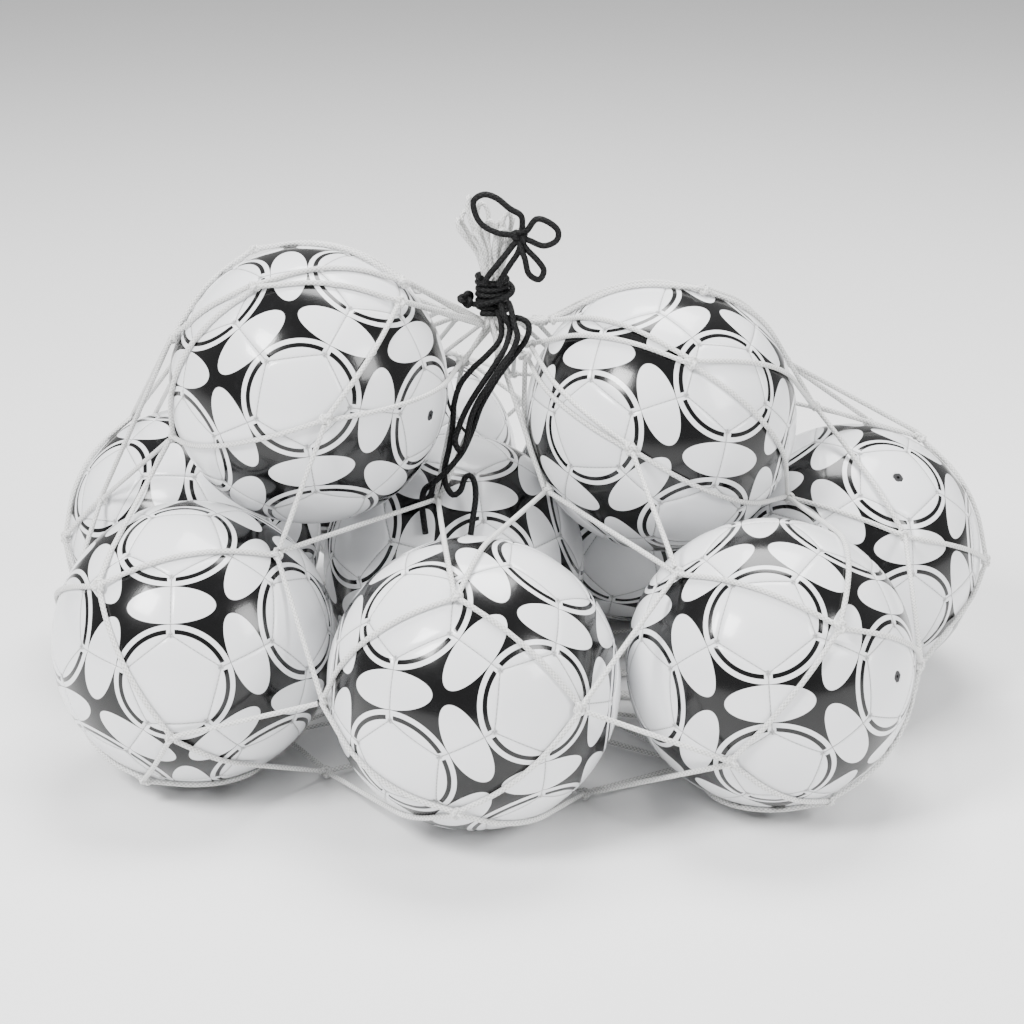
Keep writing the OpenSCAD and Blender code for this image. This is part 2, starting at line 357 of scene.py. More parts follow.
# %% Material of the cover
INK_SOFT = 0.0007
# Degrees from a pentagon's centre: the ring's two edges, and where the dark field begins.
RING_FROM, RING_TO, FIELD_FROM = 20.35, 22.15, 24.1
# Half the ellipse along a seam and across it, in degrees. The ring's gap beside a seam is in millimetres.
ELLIPSE_ALONG, ELLIPSE_ACROSS = 7.4, 17.4
RING_GAP = 3.0
VALVE_SEAT_R = 4.4


def cosine_of(degrees):
    return math.cos(math.radians(degrees))


def sine_of(degrees):
    return math.sin(math.radians(degrees))


cover_mat, t, shader = start_material(
    "ball_cover_print", Coat_Weight=0.2, Coat_Roughness=0.06, Specular_IOR_Level=0.35,
)
outward = named(t, "panel_dir", "Vector").unit()
toward = outward.folded()
near_pent = toward.dot(tuple(PENT_NEAR[0]))
for pent in PENT_NEAR[1:]:
    near_pent = near_pent.most(toward.dot(tuple(pent)))
ellipse = None
for middle, along in SEAM_NEAR:
    across = np.cross(middle, along)
    a = toward.dot(tuple(along / sine_of(ELLIPSE_ALONG)))
    b = toward.dot(tuple(across / sine_of(ELLIPSE_ACROSS)))
    e = a * a + b * b
    ellipse = e if ellipse is None else ellipse.least(e)
seam = named(t, "seam_mm")
hex_seam = named(t, "hex_seam_mm")
ring = 1 - near_pent.over(cosine_of(RING_FROM), INK_SOFT)
ring = ring * near_pent.over(cosine_of(RING_TO), INK_SOFT) * hex_seam.over(RING_GAP, 0.12)
field = (1 - near_pent.over(cosine_of(FIELD_FROM), INK_SOFT)) * ellipse.over(1.0, 0.02)
valve_seat = outward.dot(tuple(PENT_NEAR[0])).over(math.cos(VALVE_SEAT_R / BALL_R), 0.00003)
ink = ring.most(field).most(valve_seat)
cloudy = noise(t, 22.0, 3.0)
grain = noise(t, 900.0, 2.0)
scuff = noise(t, 160.0, 6.0, 0.7)
white = blend_colour(t, cloudy, (0.79, 0.80, 0.82, 1), (0.86, 0.865, 0.875, 1))
black = blend_colour(
    t, scuff.over(0.62, 0.1) * 0.4, (0.0022, 0.0022, 0.0025, 1), (0.010, 0.010, 0.011, 1),
)
in_seam = 1 - seam.over(0.35, 0.35)
printed = blend_colour(t, ink, white, black)
printed = blend_colour(t, in_seam * 0.72, printed, (0.12, 0.12, 0.125, 1))
plug(t, printed, shader, "Base Color")
plug(t, 0.15 + cloudy * 0.05 + scuff * 0.05 + in_seam * 0.4 - ink * 0.02, shader, "Roughness")
plug(t, raised(t, grain * 0.035 + ink * 0.03 + cloudy * 0.25), shader, "Normal")
print("cover material:", len(t.nodes), "nodes")

# %% [markdown]
# ## The ball's shape
#
# A sphere of even triangles can't hold a seam one millimetre wide. Here every panel is built as
# wedges from its centre to each edge, with the rows crowded towards the edge, so that mesh lines run
# exactly along the seams. Each point then sinks by a formula of its distance from the seam. The
# pentagon with the valve also gets a small seat for it.

# %% The solid's corners, edges and panels
pents = []
for i in range(3):
    for s in (1, -1):
        for g in (GOLD, -GOLD):
            pents.append(np.roll((0.0, s, g), i))
pents = unit(np.array(pents))
close = pents @ pents.T
# The cosine of 63.4 degrees between neighbouring pentagons is 0.447, and every other pair has less.
NEAR = 0.4
edge_pairs = [(i, j) for i in range(12) for j in range(12) if i != j and close[i, j] > NEAR]
corners = {}
for i, j in edge_pairs:
    corners[i, j] = unit(2 * pents[i] + pents[j])
hexes = []
for i in range(12):
    for j in range(i + 1, 12):
        for h in range(j + 1, 12):
            if min(close[i, j], close[j, h], close[i, h]) > NEAR:
                hexes.append((i, j, h))


def ordered(points, centre):
    """Points round a centre, anticlockwise seen from outside."""
    centre = unit(centre)
    side = unit(np.cross(centre, (0.31, 0.52, 0.79)))
    up = np.cross(centre, side)
    return sorted(points, key=lambda p: math.atan2(p @ up, p @ side))


panels = []
for i in range(12):
    panels.append(
        (pents[i], ordered([corners[i, j] for j in range(12) if (i, j) in corners], pents[i]), True)
    )
for i, j, h in hexes:
    six = [corners[a, b] for a, b in ((i, j), (j, i), (j, h), (h, j), (i, h), (h, i))]
    panels.append(
        (unit(pents[i] + pents[j] + pents[h]), ordered(six, pents[i] + pents[j] + pents[h]), False),
    )
hex_seams = []
for i, j in edge_pairs:
    if i < j:
        a, b = corners[i, j], corners[j, i]
        hex_seams.append((unit(np.cross(a, b)), unit(a + b)))
# A seam reaches 11.64 degrees each way from its middle.
HALF_SEAM = math.cos(math.radians(11.64))
print("panels:", len(panels), "seams:", len(hex_seams), "+ 60")

# %% One ball of wedges
# Rows of points in a panel, in millimetres from its seam, and round the valve from the panel's middle.
FROM_SEAM = [0.0, 0.35, 0.75, 1.2, 1.8, 2.8, 4.4, 7.0, 11.0, 16.5, 23.0, 28.0, 33.0, 37.0]
FROM_MIDDLE = [5.3, 4.7, 4.3, 1.7]
COLUMNS = 13


def slerp(a, b, t):
    angle = math.acos(max(-1, min(1, float(a @ b))))
    return (math.sin((1 - t) * angle) * a + math.sin(t * angle) * b) / math.sin(angle)


def make_wedges():
    """Directions and faces of one ball of wedges."""
    points, faces, index = [], [], {}

    def vertex(p):
        key = tuple(np.round(p, 6))
        if key not in index:
            index[key] = len(points)
            points.append(p)
        return index[key]

    for centre, ring_points, is_pent in panels:
        n = len(ring_points)
        reach = BALL_R * math.acos(float(centre @ unit(ring_points[0] + ring_points[1])))
        rows = [1 - d / reach for d in FROM_SEAM if d < reach - (7 if is_pent else 2)]
        if is_pent:
            rows += [r / reach for r in FROM_MIDDLE]
        for k in range(n):
            a, b = ring_points[k], ring_points[(k + 1) % n]
            grid = []
            for s in rows:
                line = []
                for c in range(COLUMNS + 1):
                    edge = unit((1 - c / COLUMNS) * a + c / COLUMNS * b)
                    line.append(vertex(slerp(centre, edge, s)))
                grid.append(line)
            middle = vertex(centre)
            for r in range(len(grid) - 1):
                for c in range(COLUMNS):
                    faces.append((grid[r][c], grid[r][c + 1], grid[r + 1][c + 1], grid[r + 1][c]))
            for c in range(COLUMNS):
                faces.append((grid[-1][c], grid[-1][c + 1], middle))
    return np.array(points), faces


def seam_distances(points):
    """Millimetres along the surface to the nearest seam of any kind, and of two hexagons."""
    to_any = np.full(len(points), 99.0)
    to_hex = np.full(len(points), 99.0)
    for normal, middle in hex_seams:
        d = np.abs(np.arcsin(np.clip(points @ normal, -1, 1))) * BALL_R
        d = np.where(points @ middle > HALF_SEAM * 0.995, d, 99.0)
        to_hex = np.minimum(to_hex, d)
    for i in range(12):
        centre, ring_points, _ = panels[i]
        for k in range(5):
            a, b = ring_points[k], ring_points[(k + 1) % 5]
            normal, middle = unit(np.cross(a, b)), unit(a + b)
            d = np.abs(np.arcsin(np.clip(points @ normal, -1, 1))) * BALL_R
            d = np.where(points @ middle > HALF_SEAM * 0.995, d, 99.0)
            to_any = np.minimum(to_any, d)
    return np.minimum(to_any, to_hex), to_hex


wedge_dirs, wedge_faces = make_wedges()
seam_mm, hex_seam_mm = seam_distances(wedge_dirs)
print("one ball:", len(wedge_dirs), "points,", len(wedge_faces), "faces")

# %% Ten balls


def ball_frame(az, el, twist):
    """Turns the solid so that its first pentagon, with the valve, faces az and el."""
    out = aim(az, el)
    flat = unit(np.cross((0, 0, 1), out))
    up = np.cross(out, flat)
    a = math.radians(twist)
    side = math.cos(a) * up + math.sin(a) * flat
    old_out = pents[0]
    other = pents[[j for j in range(12) if (0, j) in corners][0]]
    old_side = unit(other - (other @ old_out) * old_out)
    new = np.column_stack([side, np.cross(out, side), out])
    old = np.column_stack([old_side, np.cross(old_out, old_side), old_out])
    return new @ old.T


def new_piece(name, points, faces, material, smooth=True):
    """A mesh object at the origin, in metres, with its normals outwards."""
    mesh = bpy.data.meshes.new(name)
    mesh.from_pydata([tuple(p) for p in points], [], faces)
    mesh.polygons.foreach_set("use_smooth", [smooth] * len(mesh.polygons))
    mesh.materials.append(material)
    mesh.update()
    piece = bpy.data.objects.new(name, mesh)
    scene.collection.objects.link(piece)
    return piece


def store(piece, name, kind, values):
    data = piece.data.attributes.new(name, kind, "POINT").data
    data.foreach_set(
        "vector" if kind == "FLOAT_VECTOR" else "value", np.asarray(values, np.float32).ravel(),
    )


from_valve = np.arccos(np.clip(wedge_dirs @ pents[0], -1, 1)) * BALL_R
seat = 1 - np.clip((from_valve - VALVE_SEAT_R) / 0.4, 0, 1)
needle_hole = np.where(from_valve < 1, 9.0, 0.0)
# Each panel is a little domed and falls away into its seam. The valve has a seat with a hole in it.
dome = 0.28 * np.exp(-seam_mm / 9)
groove = 0.95 * np.exp(-((seam_mm / 1.25) ** 1.15))
sink = dome + groove + seat + needle_hole
radii = BALL_R - sink
ball_pieces = []
for number, (centre, turn) in enumerate(zip(CENTRES, TURNS), 1):
    turned = wedge_dirs @ ball_frame(*turn).T
    piece = new_piece(
        f"ball_{number}_panels", mm(centre + turned * radii[:, None]), wedge_faces, cover_mat,
    )
    store(piece, "panel_dir", "FLOAT_VECTOR", wedge_dirs)
    store(piece, "seam_mm", "FLOAT", seam_mm)
    store(piece, "hex_seam_mm", "FLOAT", hex_seam_mm)
    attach(piece, f"ball_{number}")
    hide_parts(f"ball_{number}_cover")
    ball_pieces.append(piece)
print("balls made:", len(ball_pieces))

# %% [markdown]
# ## Geometry Nodes: a cord from a line
#
# Twine and drawcord are both a braid along a path. One small tree makes either: it turns a chain of
# edges into a curve, sweeps a circle along it, closes the ends, and remembers for every point how far
# along the cord it lies and where round the cord. The braid pattern is drawn from those two later.

# %% Node group helpers


def new_group(name, inputs):
    """An empty node group with Geometry in and out, and named inputs with defaults."""
    tree = bpy.data.node_groups.new(name, "GeometryNodeTree")
    tree.interface.new_socket("Geometry", in_out="OUTPUT", socket_type="NodeSocketGeometry")
    tree.interface.new_socket("Geometry", in_out="INPUT", socket_type="NodeSocketGeometry")
    for label, kind, value in inputs:
        socket = tree.interface.new_socket(label, in_out="INPUT", socket_type=kind)
        if value is not None:
            socket.default_value = value
    start = tree.nodes.new("NodeGroupInput")
    given = {o.name: Wire(tree, o) for o in start.outputs if o.name}
    return tree, given


def finish_group(tree, geometry, material):
    """Every group ends with real geometry and its material."""
    real = add(tree, "GeometryNodeRealizeInstances", None, {"Geometry": geometry})
    done = add(tree, "GeometryNodeSetMaterial", None, {"Geometry": real, "Material": material})
    end = tree.nodes.new("NodeGroupOutput")
    tree.links.new(done.socket, end.inputs[0])


def grow(piece, tree, **values):
    """Runs a group on a piece and keeps the result as a plain mesh."""
    modifier = piece.modifiers.new("grow", "NODES")
    modifier.node_group = tree
    for item in tree.interface.items_tree:
        if item.item_type == "SOCKET" and item.in_out == "INPUT" and item.name in values:
            modifier[item.identifier] = values[item.name]
    bpy.context.view_layer.update()
    graph = bpy.context.evaluated_depsgraph_get()
    mesh = bpy.data.meshes.new_from_object(
        piece.evaluated_get(graph), preserve_all_data_layers=True, depsgraph=graph,
    )
    piece.modifiers.clear()
    old, piece.data = piece.data, mesh
    mesh.name = piece.name
    bpy.data.meshes.remove(old)
    mesh.polygons.foreach_set("use_smooth", [True] * len(mesh.polygons))
    return piece


# %% The cord group
cord_tree, given = new_group("cord_from_line", [
    ("Radius", "NodeSocketFloat", 0.002),
    ("Sides", "NodeSocketInt", 8),
    ("Material", "NodeSocketMaterial", None),
])
line = add(cord_tree, "GeometryNodeMeshToCurve", None, {"Mesh": given["Geometry"]})
reach = add(cord_tree, "GeometryNodeSplineParameter", out="Length")
line = add(
    cord_tree,
    "GeometryNodeStoreNamedAttribute",
    {"data_type": "FLOAT", "domain": "POINT"},
    {"Geometry": line, "Name": "along", "Value": reach},
)
circle = add(
    cord_tree,
    "GeometryNodeCurvePrimitiveCircle",
    {"mode": "RADIUS"},
    {"Resolution": given["Sides"], "Radius": given["Radius"]},
)
spot = add(cord_tree, "GeometryNodeInputPosition")
circle = add(
    cord_tree,
    "GeometryNodeStoreNamedAttribute",
    {"data_type": "FLOAT_VECTOR", "domain": "POINT"},
    {"Geometry": circle, "Name": "rim", "Value": spot},
)
tube = add(
    cord_tree,
    "GeometryNodeCurveToMesh",
    None,
    {"Curve": line, "Profile Curve": circle, "Fill Caps": True},
)
finish_group(cord_tree, tube, given["Material"])
print("cord group:", len(cord_tree.nodes), "nodes")

# %% [markdown]
# ## Braid
#
# A braid shows small lozenges, set in rows that run both ways round the cord. The product of a wave
# round the cord and a wave along it has just that pattern, and it closes on itself because the wave
# round the cord has a whole number of periods. Its hollows are painted darker, as shade.

# %% Cord materials


def braid(name, hollow_shade, light, rounds, pitch, depth, **constants):
    """A braided cord: shade painted in the hollows, the cord's own colour on the strands. Pitch and depth
    in millimetres.
    """
    material, t, shader = start_material(name, **constants)
    rim = add(t, "ShaderNodeSeparateXYZ", None, {"Vector": named(t, "rim", "Vector")}, out="X")
    rim_y = Wire(t, rim.socket.node.outputs["Y"])
    turn = rim_y.arctan2(rim)
    along = named(t, "along") * (2 * math.pi / (pitch * MM))
    weave = (turn * rounds).cosine() * along.cosine()
    fuzz = noise(t, 2600.0, 3.0)
    patch = noise(t, 55.0, 2.0)
    strand = weave.over(-0.1, 0.75)
    # Painted shade: the hollows between the strands take the shade colour, and noise patches vary the
    # tone.
    plug(
        t,
        blend_colour(t, strand * 0.55 + patch * 0.3 + fuzz * 0.15, hollow_shade, light),
        shader,
        "Base Color",
    )
    plug(t, 0.62 - strand * 0.12 + fuzz * 0.08, shader, "Roughness")
    plug(t, raised(t, weave * depth + fuzz * (0.3 * depth)), shader, "Normal")
    return material


# The first colour is shade painted in the braid's hollows, the second is the twine's own white.
twine_mat = braid(
    "net_twine_braid",
    (0.38, 0.38, 0.365, 1),
    (0.93, 0.93, 0.92, 1),
    4,
    3.4,
    0.25,
    Sheen_Weight=0.15,
)
# The first colour is shade painted in the braid's hollows, the second is the cord's own black.
drawcord_mat = braid(
    "drawcord_braid",
    (0.0008, 0.0008, 0.0009, 1),
    (0.0075, 0.0075, 0.008, 1),
    5,
    3.8,
    0.3,
    Specular_IOR_Level=0.2,
)
print("cord materials ready")

# %% [markdown]
# ## The net
#
# Each mesh is a diamond: two links run down from every knot to the next round. A link under tension
# takes the shortest way over the balls. That is found as it happens in nature: the chain of points is
# pulled straight again and again, and pushed out of every ball it would pass through.

# %% Pull the links tight
LINK_POINTS = 22
LAY_R = BALL_R + TWINE_R + 0.15
FLOOR_BAND = 80.0


def keep_out(points):
    """Push points out of the balls, sideways when they are low on one, and up from the floor."""
    for centre in CENTRES:
        v = points - centre
        inside = (np.linalg.norm(v, axis=-1) < LAY_R)[..., None]
        direct = centre + v * (LAY_R / np.maximum(np.linalg.norm(v, axis=-1, keepdims=True), 1e-6))
        flat = np.sqrt(np.maximum(LAY_R**2 - v[..., 2:] ** 2, 0))
        wide = np.maximum(np.linalg.norm(v[..., :2], axis=-1, keepdims=True), 1e-6)
        beside_it = np.concatenate([centre[:2] + v[..., :2] * flat / wide, points[..., 2:]], axis=-1)
        pushed = np.where(v[..., 2:] < -FLOOR_BAND, beside_it, direct)
        points = np.where(inside, pushed, points)
    points[..., 2] = np.maximum(points[..., 2], TWINE_R + 0.2)
    return points


def pull_tight(starts, ends, turns=700):
    """Shortest lines over the balls, for many links at once."""
    t = np.linspace(0, 1, LINK_POINTS)[None, :, None]
    chain = np.asarray(starts)[:, None] * (1 - t) + np.asarray(ends)[:, None] * t
    for _ in range(turns):
        chain[:, 1:-1] = keep_out((chain[:, :-2] + chain[:, 2:]) / 2)
    return chain


KNOT_STOP = 3.2
BESIDE = 1.9


def beside(knot, to, twin):
    """Where a link leaves its knot: next to its twin, a little out from the middle."""
    way, other = unit(to - knot), unit(twin - knot)
    mean = unit(way + other)
    side = way - (way @ mean) * mean
    if np.linalg.norm(side) < 1e-3:
        side = np.cross(mean, (0.0, 0.0, 1.0))
    return knot + mean * KNOT_STOP + unit(side) * BESIDE


net_links = []
for r in range(1, len(ROUNDS)):
    up, down = ROUNDS[r - 1], ROUNDS[r]
    starts, ends = [], []
    for i in range(MESHES):
        a, b, d = up[i], up[(i + 1) % MESHES], down[i]
        before, after = down[i - 1], down[(i + 1) % MESHES]
        starts += [beside(a, d, before), beside(b, d, after)]
        ends += [beside(d, a, b), beside(d, b, a)]
    net_links.append(pull_tight(starts, ends))
print("links:", sum(len(c) for c in net_links))

# %% Twine of each round


def lines_piece(name, chains, material):
    """A piece of bare edges, one chain per cord, ready for a node group."""
    points, edges = [], []
    for chain in chains:
        edges += [(len(points) + k, len(points) + k + 1) for k in range(len(chain) - 1)]
        points += [tuple(p) for p in mm(chain)]
    mesh = bpy.data.meshes.new(name)
    mesh.from_pydata(points, edges, [])
    mesh.materials.append(material)
    piece = bpy.data.objects.new(name, mesh)
    scene.collection.objects.link(piece)
    return piece


def make_cords(name, chains, material, radius, sides=8):
    return grow(
        lines_piece(name, chains, material),
        cord_tree,
        Radius=radius * MM,
        Sides=sides,
        Material=material,
    )


for r, chains in enumerate(net_links, 2):
    piece = make_cords(f"twine_round_{r}", chains, twine_mat, TWINE_R)
    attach(piece, "bag")
    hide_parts(f"net_round_{r}")
    print(piece.name, len(piece.data.polygons), "faces")

# %% [markdown]
# ## Knots
#
# A netting knot is a small tight tangle. A trefoil, the simplest knot there is, gives the same look
# with three dozen rings. One is made, and Geometry Nodes stands a copy on every crossing, turned so that
# its flat side faces the ball and each one a little different.

# %% One trefoil
TREFOIL_RINGS = 36
TREFOIL_SIDES = 7


def trefoil(width, height, radius):
    """Closed line of a trefoil of that outer width and height, in millimetres."""
    t = np.linspace(0, 2 * math.pi, TREFOIL_RINGS, endpoint=False)
    line = np.stack(
        [np.sin(t) + 2 * np.sin(2 * t), np.cos(t) - 2 * np.cos(2 * t), -np.sin(3 * t)], axis=1,
    )
    return line * [(width / 2 - radius) / 3, (width / 2 - radius) / 3, height / 2 - radius]


def closed_tube(line, radius, sides=TREFOIL_SIDES):
    """Points, faces, distance along and place round of a closed tube."""
    n = len(line)
    tangent = unit(np.roll(line, -1, 0) - np.roll(line, 1, 0))
    normal = unit(np.cross(tangent, line + (0, 0, 0.3)))
    other = np.cross(tangent, normal)
    angles = np.linspace(0, 2 * math.pi, sides, endpoint=False)
    rim = np.stack([np.cos(angles), np.sin(angles), 0 * angles], axis=1)
    points = line[:, None] + radius * (
        normal[:, None] * rim[None, :, :1] + other[:, None] * rim[None, :, 1:2]
    )
    step = np.linalg.norm(np.roll(line, -1, 0) - line, axis=1)
    along = np.concatenate([[0], np.cumsum(step)[:-1]])
    faces = []
    for i in range(n):
        for j in range(sides):
            a, b = i * sides + j, i * sides + (j + 1) % sides
            c, d = ((i + 1) % n) * sides + (j + 1) % sides, ((i + 1) % n) * sides + j
            faces.append((a, b, c, d))
    return points.reshape(-1, 3), faces, np.repeat(along, sides), np.tile(rim * radius, (n, 1))


def tube_piece(name, parts, material):
    """Several closed tubes in one piece, with the braid's attributes."""
    points, faces, along, rim = [], [], [], []
    for p, f, a, r in parts:
        base = sum(len(x) for x in points)
        points.append(p)
        faces += [tuple(base + k for k in face) for face in f]
        along.append(a)
        rim.append(r)
    piece = new_piece(name, mm(np.concatenate(points)), faces, material)
    store(piece, "along", "FLOAT", mm(np.concatenate(along)))
    store(piece, "rim", "FLOAT_VECTOR", mm(np.concatenate(rim)))
    return piece


knot_shape = tube_piece("knot_shape", [closed_tube(trefoil(11.5, 7.6, 2.0), 2.0)], twine_mat)
print("knot faces:", len(knot_shape.data.polygons))

# %% The knot group
knot_tree, given = new_group("knots_on_points", [
    ("Knot", "NodeSocketObject", None), ("Vary", "NodeSocketFloat", 0.2), ("Seed", "NodeSocketInt", 3),
    ("Material", "NodeSocketMaterial", None),
])
shape = add(knot_tree, "GeometryNodeObjectInfo", None, {"Object": given["Knot"]}, out="Geometry")
facing = add(
    knot_tree, "GeometryNodeInputNamedAttribute", {"data_type": "FLOAT_VECTOR"}, {"Name": "facing"},
)
pulled = add(
    knot_tree, "GeometryNodeInputNamedAttribute", {"data_type": "FLOAT_VECTOR"}, {"Name": "pulled"},
)
turned = add(knot_tree, "FunctionNodeAlignRotationToVector", {"axis": "Z"}, {"Vector": facing})
turned = add(
    knot_tree,
    "FunctionNodeAlignRotationToVector",
    {"axis": "X", "pivot_axis": "Z"},
    {"Rotation": turned, "Vector": pulled},
)
size = add(
    knot_tree,
    "FunctionNodeRandomValue",
    {"data_type": "FLOAT"},
    {"Min": 1 - given["Vary"] * 0.5, "Max": 1 + given["Vary"] * 0.5, "Seed": given["Seed"]},
    out=1,
)
placed = add(
    knot_tree,
    "GeometryNodeInstanceOnPoints",
    None,
    {"Points": given["Geometry"], "Instance": shape, "Rotation": turned, "Scale": size},
)
finish_group(knot_tree, placed, given["Material"])
print("knot group:", len(knot_tree.nodes), "nodes")

# %% Knots on every crossing
knot_points, knot_facing, knot_pulled = [], [], []
for r in range(len(ROUNDS) - 1):
    for i, p in enumerate(ROUNDS[r]):
        gaps = np.linalg.norm(p - CENTRES, axis=1)
        nearest = int(gaps.argmin())
        out = unit(p - CENTRES[nearest]) if gaps[nearest] < KNOT_LAY + 3 else np.array([0, 0, 1.0])
        to = ROUNDS[r + 1][i] - p
        knot_points.append(p - out * 1.6 if p[2] > 8 and gaps[nearest] < KNOT_LAY + 3 else p)
        knot_facing.append(out)
        knot_pulled.append(unit(to))
knots = lines_piece("net_knot_tangles", [[p] for p in knot_points], twine_mat)
store(knots, "facing", "FLOAT_VECTOR", knot_facing)
store(knots, "pulled", "FLOAT_VECTOR", knot_pulled)
grow(knots, knot_tree, Knot=knot_shape, Vary=0.2, Seed=3, Material=twine_mat)
bpy.data.objects.remove(knot_shape)
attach(knots, "bag")
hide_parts("net_knots")
print("knots:", len(knot_points), "faces:", len(knots.data.polygons))

# %% Lacing ring under the balls
a = np.linspace(0, 2 * math.pi, 72, endpoint=False)
ring_line = BASE + LACING_R * np.stack([np.cos(a), np.sin(a), 0 * a], axis=1)


def ring_tube(line, radius, sides=10):
    """A flat closed tube whose frame is always upright."""
    centre = line.mean(0)
    points, faces, along, rim = closed_tube(line - centre, radius, sides)
    return points + centre, faces, along, rim


lacing = tube_piece("lacing_ring", [ring_tube(ring_line, TWINE_R)], twine_mat)
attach(lacing, "bag")
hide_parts("base_lacing")

# %% [markdown]
# ## The gathered mouth
#
# The two cords of every top mesh run up to the neck, through the black wrap, over in a loop and back
# down. So each loop of the white tuft carries on from a link on the ball. The links stay with the bag
# and the loops go with the neck: they meet at the height of the neck's joint, where nothing moves.

# %% Loops of the mouth
NECK = np.array([-20.0, 0.0])
THROAT_Z, WRAP_LOW, WRAP_HIGH, TUFT_Z = 322.0, 336.0, 362.0, 371.0


def spline(route, step=2.5):
    """A smooth line through a route's points, with a point about every step."""
    p = np.asarray(route, float)
    p = np.concatenate([[2 * p[0] - p[1]], p, [2 * p[-1] - p[-2]]])
    out = []
    for i in range(1, len(p) - 2):
        n = max(2, int(np.linalg.norm(p[i + 1] - p[i]) / step))
        t = np.linspace(0, 1, n, endpoint=False)[:, None]
        a, b, c, d = p[i - 1], p[i], p[i + 1], p[i + 2]
        square = (2 * a - 5 * b + 4 * c - d) * t**2
        cube = (3 * b - a - 3 * c + d) * t**3
        out.append(0.5 * (2 * b + (c - a) * t + square + cube))
    return np.concatenate(out + [p[-2:-1]])


def neck_spot(angle, radius, z):
    return np.array([NECK[0] + radius * math.cos(angle), NECK[1] + radius * math.sin(angle), z])


top_starts, top_ends, angles = [], [], []
for i in range(MESHES):
    angle = math.radians(-90 + (i - 3) * 360 / MESHES)
    half = math.radians(180 / MESHES)
    knot = ROUND_1[i]
    for spot in (neck_spot(angle, 8.2, THROAT_Z + 4), neck_spot(angle + half, 5.6, THROAT_Z)):
        twin = spot + (6.0 if spot[2] > THROAT_Z else -6.0) * unit(np.cross(spot - knot, (0, 0, 1)))
        top_starts.append(knot + unit(spot - knot) * KNOT_STOP + unit(twin - spot) * BESIDE)
        top_ends.append(spot)
    angles.append((angle, angle + half))
top_links = pull_tight(top_starts, top_ends)
top_piece = make_cords("top_links", top_links, twine_mat, TWINE_R * 0.95)
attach(top_piece, "bag")
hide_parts("net_round_1")
mouth = []
for i, (a, b) in enumerate(angles):
    drooping = i % 2 == 0
    tall = (44 + 7 * math.cos(2 * a + 1.0) - 6 * math.cos(a)) * (0.76 if drooping else 1.0)
    foot = neck_spot(a, 8.4, TUFT_Z)
    lean = np.array([12 * math.cos(a) - 1, 5 * math.sin(a) + 2, 0]) * (1.3 if drooping else 0.7)
    rise = np.array([0, 0, tall])
    side = np.array([-math.sin(a), math.cos(a), 0])
    mouth.append(spline([
        top_ends[2 * i], neck_spot(a, 6.9, WRAP_LOW), neck_spot(a, 6.9, WRAP_HIGH + 2),
        foot + lean * 0.35 + rise * 0.45 - side * 2.2, foot + lean * 0.8 + rise * 0.84 - side * 4.4,
        foot + lean * 1.15 + rise - side * 0.5, foot + lean * 1.1 + rise * 0.8 + side * 4.0,
        foot + lean * 0.4 + rise * 0.4 + side * 2.4,
        neck_spot(b, 3.4, WRAP_HIGH + 2), neck_spot(b, 3.4, WRAP_LOW), top_ends[2 * i + 1],
    ], 2.5))
mouth_piece = make_cords("mouth_cords", mouth, twine_mat, TWINE_R * 0.95)
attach(mouth_piece, "neck")
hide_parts("neck_bundle", "mouth_loops")
print("top links:", len(top_links), "mouth cords:", len(mouth))

# %% [markdown]
# ## The black drawcord
#
# The wrap is one cord wound six times round the neck, with a last turn laid over the others. The
# cord's ends rise to a small bow, and three strands hang down the front.

# %% Wrap
DRAW_R = 2.5
turns = np.linspace(0, 6, 6 * 36)
wobble = 0.35 * np.sin(turns * 9.1) + 0.25 * np.sin(turns * 23.7)
wound = np.stack([
    NECK[0] + (11.7 + wobble * 0.5) * np.cos(turns * 2 * math.pi - 2.4),
    NECK[1] + (11.7 + wobble * 0.5) * np.sin(turns * 2 * math.pi - 2.4),
    WRAP_LOW - 1.5 + turns * 4.9 + wobble,
], axis=1)
u = np.linspace(0, 1, 60)
crossing = np.stack([
    NECK[0] + (14.6 + 1.6 * np.sin(u * math.pi)) * np.cos(2.9 + u * 5.6),
    NECK[1] + (14.6 + 1.6 * np.sin(u * math.pi)) * np.sin(2.9 + u * 5.6),
    WRAP_LOW + 3 + 22 * u,
], axis=1)
wrap = make_cords("cord_wrap", [wound, crossing], drawcord_mat, DRAW_R, 10)
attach(wrap, "neck")
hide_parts("drawcord_wrap")


def moved(tube, by, turn=0.0, tilt=0.0):
    """A closed tube turned about +Z, tilted about +X, then moved."""
    points, faces, along, rim = tube
    about = np.array(Matrix.Rotation(tilt, 3, "X") @ Matrix.Rotation(turn, 3, "Z"))
    return points @ about.T + by, faces, along, rim


end_knot = tube_piece("end_knot_tangle", [
    moved(closed_tube(trefoil(15.5, 11, 2.4), 2.4), (-40.9, -3, 345), 0.4, 1.2),
], drawcord_mat)
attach(end_knot, "neck")
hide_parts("end_knot")
bow = tube_piece("bow_knot_tangle", [
    moved(closed_tube(trefoil(15.5, 12, 2.45), 2.45), (2, -14, 399), 0.2, 1.35),
], drawcord_mat)
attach(bow, "neck")
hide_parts("bow_knot")
print("wrap, end knot and bow knot made")

